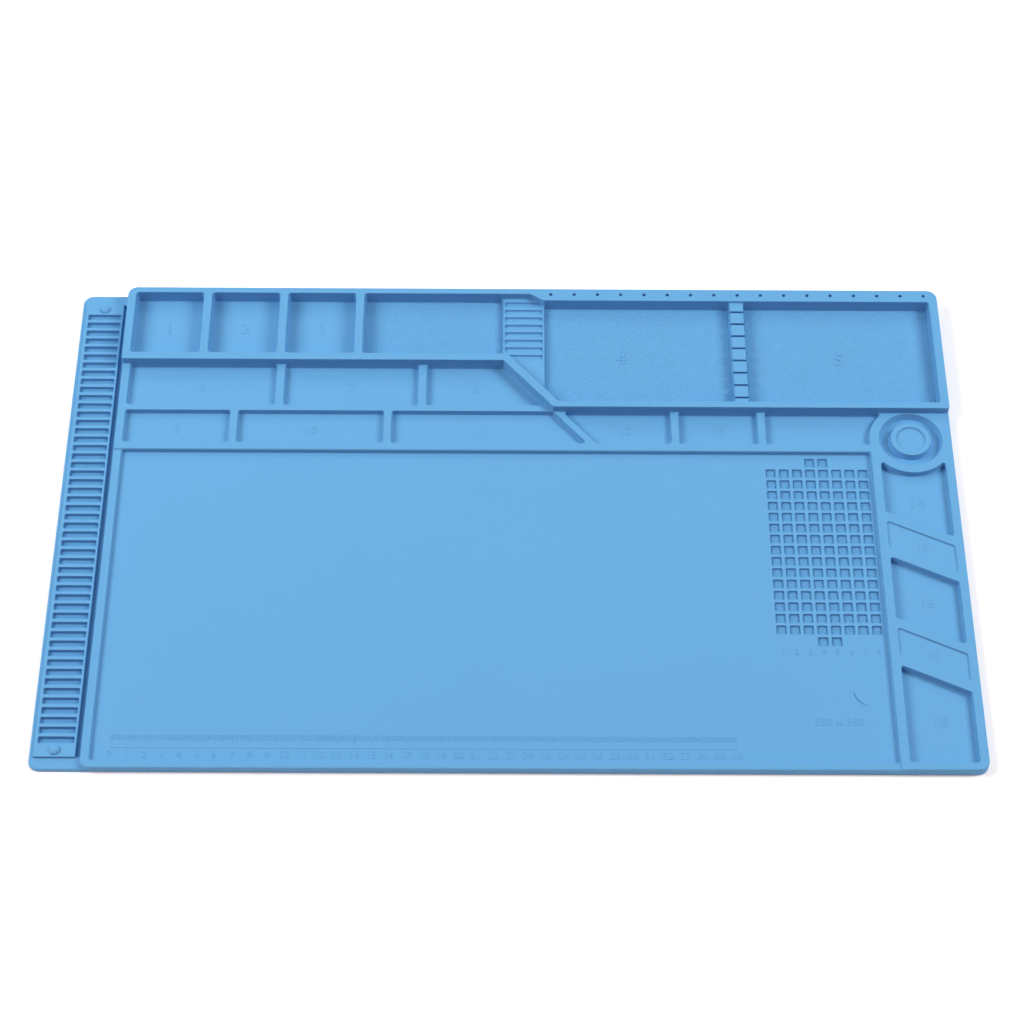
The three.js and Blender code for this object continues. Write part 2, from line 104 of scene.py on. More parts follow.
# A number or colour that varies over a surface or a form: it wraps a node's socket, so that the
# maths of nodes reads as plain maths
class Field:
    def __init__(self, tree, socket=None):
        self.tree = tree
        self.socket = socket

    def node(self, kind, settings=None, inputs=None, output=0):
        made = self.tree.nodes.new(kind)
        for name, value in (settings or {}).items():
            setattr(made, name, value)
        for name, value in (inputs or {}).items():
            if isinstance(value, Field):
                self.tree.links.new(value.socket, made.inputs[name])
            else:
                made.inputs[name].default_value = value
        return Field(self.tree, made.outputs[output])

    def maths(self, operation, *values):
        return self.node("ShaderNodeMath", {"operation": operation}, dict(enumerate(values)))

    def part(self, axis):
        return self.node("ShaderNodeSeparateXYZ", {}, {"Vector": self}, axis)

    def __add__(self, other):
        return self.maths("ADD", self, other)

    def __radd__(self, other):
        return self.maths("ADD", other, self)

    def __sub__(self, other):
        return self.maths("SUBTRACT", self, other)

    def __mul__(self, other):
        return self.maths("MULTIPLY", self, other)

    def __rmul__(self, other):
        return self.maths("MULTIPLY", other, self)

    def __truediv__(self, other):
        return self.maths("DIVIDE", self, other)


def new_material(name):
    material = bpy.data.materials.new(name)
    material.use_nodes = True
    shader = material.node_tree.nodes["Principled BSDF"]
    return material, shader, Field(material.node_tree)


def feed(field, shader, name):
    field.tree.links.new(field.socket, shader.inputs[name])


def mixed(field, share, first, second):
    inputs = {"Factor": share, "A": first, "B": second}
    return field.node("ShaderNodeMix", {"data_type": "RGBA"}, inputs, "Result")


table_paint, table_shader, paint = new_material("table paint")
table_place = paint.node("ShaderNodeTexCoord", output="Object")
table_cloud = paint.node("ShaderNodeTexNoise", {}, {"Vector": table_place, "Scale": 3.0}, "Fac")
table_colour = mixed(paint, table_cloud, (0.93, 0.93, 0.93, 1), (0.95, 0.95, 0.95, 1))
feed(table_colour, table_shader, "Base Color")
table_shader.inputs["Roughness"].default_value = 0.9
table_shader.inputs["Specular IOR Level"].default_value = 0.2
# Painted light: a faint white glow lightens the table and the shadows that fall on it
table_shader.inputs["Emission Color"].default_value = (1, 1, 1, 1)
table_shader.inputs["Emission Strength"].default_value = 0.09

table_reach = 6
table_drop = 0.0002
table_mesh = bpy.data.meshes.new("table")
table_mesh.from_pydata([
    (-table_reach, -table_reach, -table_drop),
    (table_reach, -table_reach, -table_drop),
    (table_reach, table_reach, -table_drop),
    (-table_reach, table_reach, -table_drop),
], [], [(0, 1, 2, 3)])
table_mesh.materials.append(table_paint)
table = bpy.data.objects.new("table", table_mesh)
scene.collection.objects.link(table)

# Flange and slotted bar
# A thin flange carries a raised bar down the mat's left side. The bar has a row of cross slots
# that hold tweezers and drivers, and a round knob at each end, all moulded in one.

silicone, silicone_shader, rubber = new_material("blue silicone")

half_length = 275
half_width = 175
mat_corner = 6.5
flange_thickness = 2
flange_round = 1.4
edge_round = 0.4
smallest_radius = 0.1
corner_steps = 8
edge_steps = 4
overcut = 1

bar_margin = 2.5
bar_width = 24.2
bar_end_margin = 7.8
bar_rise = 1.5
bar_corner = 0.8
bar_left = -half_length + bar_margin
bar_right = bar_left + bar_width
bar_half_width = half_width - bar_end_margin
bar_top = flange_thickness + bar_rise

slot_count = 49
slot_pitch = 6.5
slot_length = 21.1
slot_width = 4.2
slot_depth = 2.3
slot_shift = 0.35
slot_corner = 0.4
slot_round = 0.35
slot_floor = bar_top - slot_depth
slot_right = bar_right - (bar_right - bar_left - slot_length) / 2 + slot_shift
slot_sides = (slot_right - slot_length, slot_right, -slot_width / 2, slot_width / 2)

small_foot = 0.3
small_lean = 0.1
small_edge_steps = 2
small_corner_steps = 1

knob_radius = 3.5
knob_rise = 2
knob_from_end = 4.6
knob_foot = 1
knob_tip_radius = 0.15
knob_sides = 40
knob_steps = 8


def corner(x, y, radius=0.0):
    return Vector((x, y)), radius


def rectangle(x0, x1, y0, y1, radius=0.0):
    return [corner(x, y, radius) for x, y in ((x0, y0), (x1, y0), (x1, y1), (x0, y1))]


# Moves each side of a counter-clockwise outline inward, and rounds its corners
def outline(corners, inset, steps=corner_steps):
    points = []
    for i, (here, radius) in enumerate(corners):
        incoming = (here - corners[i - 1][0]).normalized()
        outgoing = (corners[(i + 1) % len(corners)][0] - here).normalized()
        normal_in = Vector((-incoming.y, incoming.x))
        normal_out = Vector((-outgoing.y, outgoing.x))
        place = here + (normal_in + normal_out) * (inset / (1 + normal_in.dot(normal_out)))
        if radius == 0:
            points.append(place)
            continue
        turn = math.atan2(incoming.x * outgoing.y - incoming.y * outgoing.x, incoming.dot(outgoing))
        side = math.copysign(1, turn)
        rounding = max(radius - side * inset, smallest_radius)
        start = place - incoming * rounding * math.tan(abs(turn) / 2)
        centre = start + normal_in * side * rounding
        for k in range(steps + 1):
            points.append(centre + Matrix.Rotation(turn * k / steps, 2) @ (start - centre))
    return points


def circle(x, y, radius, sides):
    angles = [2 * math.pi * k / sides for k in range(sides)]
    return [Vector((x + radius * math.cos(a), y + radius * math.sin(a))) for a in angles]


def silicone_solid(name, mesh):
    mesh.materials.clear()
    mesh.materials.append(silicone)
    solid = bpy.data.objects.new(name, mesh)
    scene.collection.objects.link(solid)
    return solid


def faced_solid(name, vertices, faces):
    mesh = bpy.data.meshes.new(name)
    mesh.from_pydata(vertices, [], faces, shade_flat=False)
    return silicone_solid(name, mesh)


# A closed solid from outlines at rising heights, all with as many points
def loft(name, rings):
    count = len(rings[0][0])
    vertices = [(p.x * mm, p.y * mm, z * mm) for points, z in rings for p in points]
    faces = [tuple(reversed(range(count)))]
    for level in range(len(rings) - 1):
        foot = level * count
        for i in range(count):
            j = (i + 1) % count
            faces.append((foot + i, foot + j, foot + count + j, foot + count + i))
    faces.append(tuple(range(len(vertices) - count, len(vertices))))
    return faced_solid(name, vertices, faces)


# A solid with one plan, from the inset and the height of each step of its sides
def shaped(name, corners, profile, steps=corner_steps):
    return loft(name, [(outline(corners, inset, steps), z) for inset, z in profile])


def prism(name, corners, foot, top, inset=0):
    return shaped(name, corners, [(inset, foot), (inset, top)])


# Steps of a quarter round, as sine and cosine from its start to its end
def quarter(steps=edge_steps):
    angles = [math.pi / 2 * k / steps for k in range(steps + 1)]
    return [(math.sin(a), math.cos(a)) for a in angles]


# A raised form with upright sides and a round along its top edge
def raised(name, corners, top, rounding=edge_round):
    profile = [(0, 0)]
    profile += [(rounding * (1 - c), top - rounding * (1 - s)) for s, c in quarter()]
    return shaped(name, corners, profile)


# Insets and heights of a sunk room's sides, which lean a little, from its foot to its top
def hollow_profile(floor, top, foot, rounding, lean, steps=edge_steps):
    profile = [(lean + foot * (1 - s), floor + foot * (1 - c)) for s, c in quarter(steps)]
    profile += [(-rounding * (1 - c), top - rounding * (1 - s)) for s, c in quarter(steps)]
    profile.append((-rounding, top + overcut))
    return profile


# The room of a slot or a cell, with fewer steps in its rounds than a tray has
def small_hollow(name, corners, floor, top, rounding):
    profile = hollow_profile(floor, top, small_foot, rounding, small_lean, small_edge_steps)
    return shaped(name, corners, profile, small_corner_steps)


def plain_mesh(thing):
    return bpy.data.meshes.new_from_object(thing.evaluated_get(bpy.context.evaluated_depsgraph_get()))


# Turns an object's modifiers into plain mesh
def settle(thing):
    plain = plain_mesh(thing)
    thing.modifiers.clear()
    thing.data = plain


# Adds solids to the body, or cuts them out of it, and leaves one plain mesh
def combine(body, operation, tools):
    for tool in tools:
        change = body.modifiers.new(tool.name, "BOOLEAN")
        change.operation = operation
        change.solver = "MANIFOLD"
        change.object = tool
    settle(body)
    for tool in tools:
        bpy.data.objects.remove(tool)


# Starts a node tree with the given inputs, which come back as fields
def new_tree(name, kinds):
    tree = bpy.data.node_groups.new(name, "GeometryNodeTree")
    for label, kind in {"Geometry": "NodeSocketGeometry", **kinds}.items():
        tree.interface.new_socket(label, in_out="INPUT", socket_type=kind)
    tree.interface.new_socket("Geometry", in_out="OUTPUT", socket_type="NodeSocketGeometry")
    given = tree.nodes.new("NodeGroupInput")
    return Field(tree), {label: Field(tree, given.outputs[label]) for label in kinds}


# Ends a node tree: its copies become real and get their material
def end_tree(base, form, material):
    plain = base.node("GeometryNodeRealizeInstances", {}, {"Geometry": form})
    done = base.node("GeometryNodeSetMaterial", {}, {"Geometry": plain, "Material": material})
    end = base.tree.nodes.new("NodeGroupOutput")
    base.tree.links.new(done.socket, end.inputs["Geometry"])
    return base.tree


# Node tree that lays copies of one form in columns and rows
def rows_tree():
    base, sizes = new_tree("rows of one form", {
        "Form": "NodeSocketObject",
        "Start": "NodeSocketVector",
        "Columns": "NodeSocketInt",
        "Column step": "NodeSocketVector",
        "Rows": "NodeSocketInt",
        "Row step": "NodeSocketVector",
        "Silicone": "NodeSocketMaterial",
    })
    own_axes = {"transform_space": "ORIGINAL"}
    form = base.node("GeometryNodeObjectInfo", own_axes, {"Object": sizes["Form"]}, "Geometry")
    line = {"mode": "OFFSET", "count_mode": "TOTAL"}
    columns = base.node("GeometryNodeMeshLine", line, {
        "Count": sizes["Columns"],
        "Start Location": sizes["Start"],
        "Offset": sizes["Column step"],
    })
    column = base.node("GeometryNodeInstanceOnPoints", {}, {"Points": columns, "Instance": form})
    rows = base.node("GeometryNodeMeshLine", line, {"Count": sizes["Rows"], "Offset": sizes["Row step"]})
    grid = base.node("GeometryNodeInstanceOnPoints", {}, {"Points": rows, "Instance": column})
    return end_tree(base, grid, sizes["Silicone"])


rows_of_one_form = rows_tree()


# Runs a node tree with the given sizes and returns its result as a plain mesh object
def grow(name, tree, sizes):
    grown = bpy.data.objects.new(name, bpy.data.meshes.new(name))
    scene.collection.objects.link(grown)
    maker = grown.modifiers.new(name, "NODES")
    maker.node_group = tree
    for item in tree.interface.items_tree:
        if item.in_out == "INPUT" and item.name in sizes:
            maker[item.identifier] = sizes[item.name]
    settle(grown)
    return grown


# Copies of a form in columns and rows, as one object in place of the form
def lay_out(name, form, start, columns=1, column_step=(0, 0, 0), rows=1, row_step=(0, 0, 0)):
    laid = grow(name, rows_of_one_form, {
        "Form": form,
        "Start": [value * mm for value in start],
        "Columns": columns,
        "Column step": [value * mm for value in column_step],
        "Rows": rows,
        "Row step": [value * mm for value in row_step],
        "Silicone": silicone,
    })
    bpy.data.objects.remove(form)
    return laid


def lay_slots(name, form):
    first = -(slot_count - 1) / 2 * slot_pitch
    return lay_out(name, form, (0, first, 0), rows=slot_count, row_step=(0, slot_pitch, 0))


def knob(end):
    x = (bar_left + bar_right) / 2
    y = end * (bar_half_width - knob_from_end)
    steps = [(knob_radius, knob_foot)]
    steps += [
        (max(knob_radius * c, knob_tip_radius), bar_top + knob_rise * s) for s, c in quarter(knob_steps)
    ]
    return loft("knob", [(circle(x, y, radius, knob_sides), z) for radius, z in steps])


mat_outline = rectangle(-half_length, half_length, -half_width, half_width, mat_corner)
bar_outline = rectangle(bar_left, bar_right, -bar_half_width, bar_half_width, bar_corner)
mat = raised("bench_mat", mat_outline, flange_thickness, flange_round)
bar = raised("bar", bar_outline, bar_top)
slot_form = small_hollow("slot", rectangle(*slot_sides, slot_corner), slot_floor, bar_top, slot_round)
slots = lay_slots("slots", slot_form)

# Work area and its rim
# The body starts beyond a narrow channel beside the bar. Inside its rim lies the flat work area,
# one smooth sunk floor with a soft foot all round.

channel_width = 3.1
channel_sink = 1.2
body_corner = 6
left_rim = 5.2
right_rim = 5.5
front_rim = 5
back_rim = 4.2
column_width = 40
column_wall = 5.8
body_left = bar_right + channel_width
inner_left = body_left + left_rim
inner_right = half_length - right_rim
column_left = inner_right - column_width
work_right = column_left - column_wall

sheet = 2.2
pocket_depth = 3.8
rim_drop = 0.9
work_rise = 0.4
land_top = sheet + pocket_depth
rim_top = land_top - rim_drop
work_floor = sheet + work_rise
rim_round = 1
wall_lean = 0.2
floor_fillet = 0.5
pocket_corner = 1.4

tray_length = 48.8
tier_land = 5.4
middle_length = 32
middle_land = 4.6
lower_length = 24.6
lower_land = 5.8
back = half_width
front = -half_width
tray_back = back - back_rim
tray_front = tray_back - tray_length
tier_front = tray_front - tier_land
middle_front = tier_front - middle_length
lower_back = middle_front - middle_land
lower_front = lower_back - lower_length
work_back = lower_front - lower_land
work_front = front + front_rim


def tray_profile(floor, top):
    return hollow_profile(floor, top, floor_fillet, edge_round, wall_lean)


def hollow(name, corners, floor, top):
    return shaped(name, corners, tray_profile(floor, top))


body = raised("body", [
    corner(body_left, front, body_corner),
    corner(half_length, front, mat_corner),
    corner(half_length, back, mat_corner),
    corner(body_left, back, body_corner),
], rim_top, rim_round)
work_outline = rectangle(inner_left, work_right, work_front, work_back, pocket_corner)
work_area = hollow("work area", work_outline, work_floor, rim_top)

channel_end = bar_half_width - bar_corner
channel_outline = rectangle(bar_right - overcut, body_left + overcut, -channel_end, channel_end)
channel = prism("channel", channel_outline, flange_thickness - channel_sink, flange_thickness + overcut)
combine(mat, "DIFFERENCE", [channel])
combine(mat, "UNION", [body, bar])
combine(mat, "DIFFERENCE", [work_area, slots])

# Screw cells
# A grid of small square cells sunk in the work floor keeps screws in the order they came out,
# with two more cells at its back and two at its front.

cell_columns = 8
cell_rows = 15
end_columns = 2
cell_pitch_x = 8.1
cell_pitch_y = 8.15
cell_size = 6.2
cell_depth = 1.4
cell_corner = 0.5
cell_round = 0.25
grid_from_right = 2.6
grid_from_back = 3.1
grid_right = work_right - grid_from_right
grid_back = work_back - grid_from_back
cell_floor = work_floor - cell_depth
cell_sides = (-cell_size, 0, -cell_size, 0)


def cell_form():
    return small_hollow("cell", rectangle(*cell_sides, cell_corner), cell_floor, work_floor, cell_round)


def lay_cells(name, form):
    return lay_out(
        name, form, (grid_right, grid_back - cell_pitch_y, 0),
        cell_columns, (-cell_pitch_x, 0, 0), cell_rows, (0, -cell_pitch_y, 0),
    )


def lay_end_cells(name, form):
    end_right = grid_right - (cell_columns - end_columns) / 2 * cell_pitch_x
    return lay_out(
        name, form, (end_right, grid_back, 0),
        end_columns, (-cell_pitch_x, 0, 0), 2, (0, -(cell_rows + 1) * cell_pitch_y, 0),
    )


cells = [lay_cells("cells", cell_form()), lay_end_cells("end cells", cell_form())]
combine(mat, "DIFFERENCE", cells)

# Shallow trays
# Two rows of shallow trays for small parts lie between the work area and the deep trays. A
# slanted wall and a slanted divider cross them where the back tier grows wider.

large_tray_width = 119.6
notched_width = 8.5
block_width = 25.6
notched_right = inner_right - large_tray_width
notched_left = notched_right - notched_width
block_right = notched_left - large_tray_width
block_left = block_right - block_width
diagonal_angle = math.radians(49.6)
diagonal_slope = 1 / math.tan(diagonal_angle)
diagonal_spread = 1 / math.sin(diagonal_angle)

dish_radius = 19.6
dish_gap = 0.6
dish_wall = 6
dish_x = inner_right - column_width / 2
dish_y = lower_back - dish_gap - dish_radius
dish_outer = dish_radius + dish_wall
wall_arc_steps = 36

middle_divider = 5.2
second_middle_width = 84.4
third_middle_width = 48.4
third_left = block_left - third_middle_width
second_right = third_left - middle_divider
second_left = second_right - second_middle_width
first_right = second_left - middle_divider

lower_divider = 4.8
diagonal_divider = 4.4
first_lower_width = 65.6
second_lower_width = 91.2
fifth_lower_width = 49.2
last_lower_reach = 90
lower_first_right = inner_left + first_lower_width
lower_second_left = lower_first_right + lower_divider
lower_second_right = lower_second_left + second_lower_width
lower_third_left = lower_second_right + lower_divider
last_left = dish_x - last_lower_reach
fifth_right = last_left - lower_divider
fifth_left = fifth_right - fifth_lower_width
fourth_right = fifth_left - lower_divider
slanted_divider_run = diagonal_divider * diagonal_spread


def outer_diagonal(y):
    return block_left + (tier_front - y) * diagonal_slope


def pocket(*spots):
    return [corner(x, y, pocket_corner) for x, y in spots]


def arc(x, y, radius, start, end, steps=corner_steps):
    angles = [start + (end - start) * k / steps for k in range(steps + 1)]
    return [Vector((x + radius * math.cos(a), y + radius * math.sin(a))) for a in angles]


# How far the centre of a small round lies from the dish's centre, across the given offset
def round_away(along, radius, wall_radius):
    return math.sqrt((wall_radius + radius) ** 2 - along ** 2)


# The last lower tray: its right end follows the wall round the dish
def last_lower_outline(inset):
    wall_radius = dish_outer + inset
    radius = max(pocket_corner - inset, smallest_radius)
    x0 = last_left + inset
    y0 = lower_front + inset + radius
    y1 = lower_back - inset - radius
    top_away = round_away(y1 - dish_y, radius, wall_radius)
    foot_away = round_away(y0 - dish_y, radius, wall_radius)
    top_angle = math.pi - math.atan2(y1 - dish_y, top_away)
    foot_angle = math.pi - math.atan2(y0 - dish_y, foot_away)
    points = arc(x0 + radius, y1, radius, math.pi / 2, math.pi)
    points += arc(x0 + radius, y0, radius, math.pi, 1.5 * math.pi)
    points += arc(dish_x - foot_away, y0, radius, -math.pi / 2, foot_angle - math.pi)
    points += arc(dish_x, dish_y, wall_radius, foot_angle, top_angle, wall_arc_steps)[1:-1]
    points += arc(dish_x - top_away, y1, radius, top_angle - math.pi, math.pi / 2)
    return points


land = raised("land", [
    corner(body_left, work_back, pocket_corner),
    corner(work_right, work_back),
    corner(work_right, front),
    corner(half_length, front, mat_corner),
    corner(half_length, back, mat_corner),
    corner(body_left, back, body_corner),
], land_top, rim_round)
# The knobs of the bar are joined in the same step as the land
combine(mat, "UNION", [knob(-1), knob(1), land])

middle_outlines = [
    rectangle(inner_left, first_right, middle_front, tier_front, pocket_corner),
    rectangle(second_left, second_right, middle_front, tier_front, pocket_corner),
    pocket(
        (third_left, middle_front),
        (outer_diagonal(middle_front), middle_front),
        (block_left, tier_front),
        (third_left, tier_front),
    ),
]
lower_outlines = [
    rectangle(inner_left, lower_first_right, lower_front, lower_back, pocket_corner),
    rectangle(lower_second_left, lower_second_right, lower_front, lower_back, pocket_corner),
    pocket(
        (lower_third_left, lower_front),
        (outer_diagonal(lower_front), lower_front),
        (outer_diagonal(lower_back), lower_back),
        (lower_third_left, lower_back),
    ),
    pocket(
        (outer_diagonal(lower_front) + slanted_divider_run, lower_front),
        (fourth_right, lower_front),
        (fourth_right, lower_back),
        (outer_diagonal(lower_back) + slanted_divider_run, lower_back),
    ),
    rectangle(fifth_left, fifth_right, lower_front, lower_back, pocket_corner),
]
shallow_trays = [
    hollow("shallow tray", corners, sheet, land_top) for corners in middle_outlines + lower_outlines
]
shallow_trays.append(loft("last shallow tray", [
    (last_lower_outline(inset), z) for inset, z in tray_profile(sheet, land_top)
]))
combine(mat, "DIFFERENCE", shallow_trays)

# Right column
# Down the right side run five slanted trays, deep and shallow in turn, below a round dish. The
# dish is a ring-shaped moat round an island whose top is slightly hollowed.

slant_run = math.tan(math.radians(24.8))
slant_land = 6.8
first_foot_from_back = 44.7
shallow_length = 19.4
deep_length = 43.7
deep_sink = 0.6
shallow_depth = 1.2
deep_floor = sheet - deep_sink
shallow_floor = land_top - shallow_depth
first_foot = work_back - first_foot_from_back
second_top = first_foot - slant_land
third_top = second_top - shallow_length - slant_land
fourth_top = third_top - deep_length - slant_land
fifth_top = fourth_top - shallow_length - slant_land

dish_slope = 1.4
island_radius = 12.5
island_slope = 0.7
recess_radius = 9.5
recess_depth = 1.2
recess_shoulder = 0.3
recess_lip = 0.05
dish_sides = 120


def slant(y, x):
    return y - (x - column_left) * slant_run


# The first column tray: its back end follows the wall round the dish
def first_column_outline(inset):
    wall_radius = dish_outer + inset
    radius = max(pocket_corner - inset, smallest_radius)
    x0 = column_left + inset + radius
    x1 = inner_right - inset - radius
    feet = pocket((column_left, first_foot), (inner_right, slant(first_foot, inner_right)))
    sides = feet + [corner(inner_right, dish_y), corner(column_left, dish_y)]
    half = dish_x - x0
    away = round_away(half, radius, wall_radius)
    angle = math.atan2(away, half)
    points = outline(sides, inset)[:len(feet) * (corner_steps + 1)]
    points += arc(x1, dish_y - away, radius, 0, math.pi - angle)
    points += arc(dish_x, dish_y, wall_radius, -angle, angle - math.pi, wall_arc_steps)[1:-1]
    points += arc(x0, dish_y - away, radius, angle, math.pi)
    return points


def column_tray(top, length, floor):
    foot = top - length
    return hollow("column tray", pocket(
        (column_left, foot),
        (inner_right, slant(foot, inner_right)),
        (inner_right, slant(top, inner_right)),
        (column_left, top),
    ), floor, land_top)


first_column_tray = loft("column tray", [
    (first_column_outline(inset), z) for inset, z in tray_profile(deep_floor, land_top)
])
last_column_tray = hollow("column tray", pocket(
    (column_left, work_front),
    (inner_right, work_front),
    (inner_right, slant(fifth_top, inner_right)),
    (column_left, fifth_top),
), deep_floor, land_top)
column_trays = [
    first_column_tray,
    column_tray(second_top, shallow_length, shallow_floor),
    column_tray(third_top, deep_length, deep_floor),
    column_tray(fourth_top, shallow_length, shallow_floor),
    last_column_tray,
]


def dish_form(name, steps):
    return loft(name, [(circle(dish_x, dish_y, radius, dish_sides), z) for radius, z in steps])


# Radius and height along a round wall, with side 1 where it faces outward and -1 where inward
def round_wall(foot_radius, top_radius, side):
    foot_round = side * floor_fillet
    top_round = side * edge_round
    steps = [
        (foot_radius + foot_round * (1 - s), deep_floor + floor_fillet * (1 - c)) for s, c in quarter()
    ]
    steps += [(top_radius - top_round * (1 - c), land_top - edge_round * (1 - s)) for s, c in quarter()]
    return steps


bowl_steps = round_wall(dish_radius - dish_slope, dish_radius, -1)
bowl_steps.append((dish_radius + edge_round, land_top + overcut))
island_foot = island_radius + island_slope
island_steps = [(island_foot + floor_fillet, deep_floor - overcut)]
island_steps += round_wall(island_foot, island_radius, 1)
recess_steps = [
    (recess_radius - recess_depth * (1 - s) - recess_shoulder, land_top - recess_depth * c)
    for s, c in quarter()
]
recess_steps += [(recess_radius, land_top + recess_lip), (recess_radius, land_top + overcut)]
combine(mat, "DIFFERENCE", column_trays + [dish_form("bowl", bowl_steps)])
combine(mat, "UNION", [dish_form("island", island_steps)])
combine(mat, "DIFFERENCE", [dish_form("recess", recess_steps)])

# Back tier
# The tall back tier holds three square trays, a wide one and two large ones. Its front wall steps
# forward along a slant where the large trays begin.

tray_depth = 9
tray_corner = 2
wide_rim = 9.5
small_count = 3
small_width = 43.6
tray_divider = 5.3
tier_top = sheet + tray_depth
large_back = back - wide_rim
small_step = small_width + tray_divider
wide_left = inner_left + small_count * small_step


def inner_diagonal(y):
    return outer_diagonal(y) + tier_land * diagonal_spread


def inner_diagonal_at(x):
    return tier_front - (x - block_left - tier_land * diagonal_spread) / diagonal_slope


def small_outline(i):
    tray_left = inner_left + i * small_step
    return rectangle(tray_left, tray_left + small_width, tray_front, tray_back, tray_corner)


tier = raised("tier", [
    corner(body_left, tier_front, pocket_corner),
    corner(block_left, tier_front),
    corner(outer_diagonal(lower_back), lower_back),
    corner(half_length, lower_back, pocket_corner),
    corner(half_length, back, mat_corner),
    corner(body_left, back, body_corner),
], tier_top)
grained_outlines = [
    rectangle(wide_left, block_left, tray_front, tray_back, tray_corner),
    pocket(
        (inner_diagonal(middle_front), middle_front),
        (notched_left, middle_front),
        (notched_left, large_back),
        (block_right, large_back),
        (block_right, inner_diagonal_at(block_right)),
    ),
    rectangle(notched_right, inner_right, middle_front, large_back, pocket_corner),
]
deep_outlines = [small_outline(i) for i in range(small_count)] + grained_outlines
combine(mat, "UNION", [tier])
combine(mat, "DIFFERENCE", [hollow("deep tray", corners, sheet, tier_top) for corners in deep_outlines])

# Ribbed block
# Between the wide tray and the first large one stands a lower block. Cross grooves in its top,
# each with a steep back and a long rising front, hold tweezers and pens.

block_drop = 5
rim_slant = 8.7
groove_count = 8
groove_pitch = 6.15
groove_depth = 1.4
groove_ridge = 1.9
groove_margin = 0.8
groove_from_corner = 2.7
groove_back_drop = 0.1
groove_round_steps = 6
block_top = tier_top - block_drop
lap = floor_fillet + wall_lean


def block_corners(reach):
    return [
        corner(block_left - reach, tray_front),
        corner(inner_diagonal(tray_front), tray_front),
        corner(block_right + reach, inner_diagonal_at(block_right + reach)),
        corner(block_right + reach, large_back),
        corner(block_right, large_back),
        corner(block_right - rim_slant, tray_back),
        corner(block_left - reach, tray_back),
    ]


# One groove, made as a long prism with its section in the plane of +Y and +Z
def groove_form():
    foot = block_top - groove_depth
    end = -groove_pitch + groove_ridge
    section = [(0, block_top + overcut), (end, block_top + overcut), (end, block_top)]
    for k in range(1, groove_round_steps + 1):
        t = k / groove_round_steps
        y = (1 - t) ** 2 * end + 2 * t * (1 - t) * end / 2 + t * t * -edge_round
        z = (1 - t) ** 2 * block_top + 2 * t * (1 - t) * foot + t * t * foot
        section.append((y, z))
    section.append((0, block_top - groove_back_drop))
    x0 = block_left + groove_margin
    x1 = block_right - groove_margin
    count = len(section)
    vertices = [(x * mm, y * mm, z * mm) for x in (x0, x1) for y, z in section]
    faces = [(i, (i + 1) % count, count + (i + 1) % count, count + i) for i in range(count)]
    faces += [tuple(reversed(range(count))), tuple(range(count, 2 * count))]
    return faced_solid("groove", vertices, faces)


block_room = hollow("block room", block_corners(lap), block_top, tier_top)
first_groove = (0, tray_front + groove_from_corner, 0)
grooves = lay_out("grooves", groove_form(), first_groove, rows=groove_count, row_step=(0, groove_pitch, 0))
combine(grooves, "INTERSECT", [prism("groove room", block_corners(0), 0, tier_top)])
combine(mat, "DIFFERENCE", [block_room, grooves])

# Notched divider
# The divider between the two large trays is a little lower than the tier, and narrow notches run
# across it to carry thin tools and wires.

notched_drop = 1.8
notch_count = 8
notch_pitch = 9.83
notch_width = 1.5
notch_depth = 3
notch_from_front = 4.4
notched_top = tier_top - notched_drop
divider_ends = (notched_left - lap, notched_right + lap)

divider_outline = rectangle(*divider_ends, middle_front, large_back)
divider_room = hollow("divider room", divider_outline, notched_top, tier_top)
notch_outline = rectangle(*divider_ends, -notch_width / 2, notch_width / 2)
notch_form = prism("notch", notch_outline, notched_top - notch_depth, tier_top)
first_notch = (0, middle_front + notch_from_front, 0)
notches = lay_out("notches", notch_form, first_notch, rows=notch_count, row_step=(0, notch_pitch, 0))
combine(mat, "DIFFERENCE", [divider_room, notches])

# Holes of the back rim
# A row of small blind holes stands in the wide back rim behind the large trays. Bits and probes
# are stuck into them.

hole_count = 17
hole_pitch = 15
hole_radius = 1.1
hole_depth = 6
hole_taper = 0.1
hole_tip = 0.2
hole_round = 0.25
hole_from_back = 4.5
last_hole_from_right = 8.5
hole_sides = 20
round_middle = 0.3 * hole_round

hole_steps = [
    (hole_radius - hole_taper, tier_top - hole_depth),
    (hole_radius, tier_top - (hole_depth - hole_tip)),
    (hole_radius, tier_top - hole_round),
    (hole_radius + round_middle, tier_top - round_middle),
    (hole_radius + hole_round, tier_top),
    (hole_radius + hole_round, tier_top + overcut),
]
hole_form = loft("hole", [(circle(0, 0, radius, hole_sides), z) for radius, z in hole_steps])
last_hole = (half_length - last_hole_from_right, back - hole_from_back, 0)
holes = lay_out("holes", hole_form, last_hole, columns=hole_count, column_step=(-hole_pitch, 0, 0))
combine(mat, "DIFFERENCE", [holes])

# Woven-looking grain
# The floors of the wide tray and of the two large trays carry a fine diamond grain from the mould,
# so that small things don't slide on them. The slots and the screw cells carry a finer one.

grain_pitch = 0.85
grain_relief = 0.48
grain_margin = 1.2
grain_sink = 0.5
grain_root = 0.3
slot_grain_pitch = 0.6
cell_grain_pitch = 0.75
small_grain_relief = 0.35
small_grain_margin = 0.6


